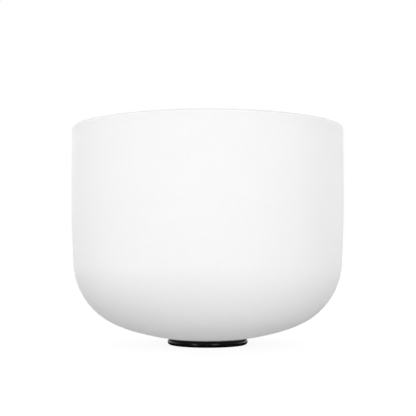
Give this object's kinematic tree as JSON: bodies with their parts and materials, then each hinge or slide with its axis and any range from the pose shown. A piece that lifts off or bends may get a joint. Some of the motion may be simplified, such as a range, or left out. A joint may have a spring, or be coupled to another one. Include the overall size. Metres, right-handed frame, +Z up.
{
  "type": "crystal singing bowl",
  "caption": "Deep frosted quartz bowl with a rounded bottom, a straight wall and an open ground rim, standing loose on a black rubber O-ring; it is struck or rubbed on the rim to sound.",
  "frame": {"origin": "on the bowl's axis, at the plane that the O-ring stands on", "axes": "+Z up along the bowl's axis, towards the rim; X and Y are alike, because both pieces are turned shapes"},
  "size_m": [0.3048, 0.3048, 0.2413],
  "materials": {
    "rubber": "satin",
    "frosted_quartz": "matte"
  },
  "bodies": {
    "stand_ring": {"o_ring": "rubber"},
    "bowl": {"quartz_bowl": "frosted_quartz"}
  },
  "joints": [
    {"name": "bowl_lift", "type": "slide", "parent": "stand_ring", "child": "bowl", "axis": [0, 0, 1], "range_m": [0, 0.1]}
  ]
}
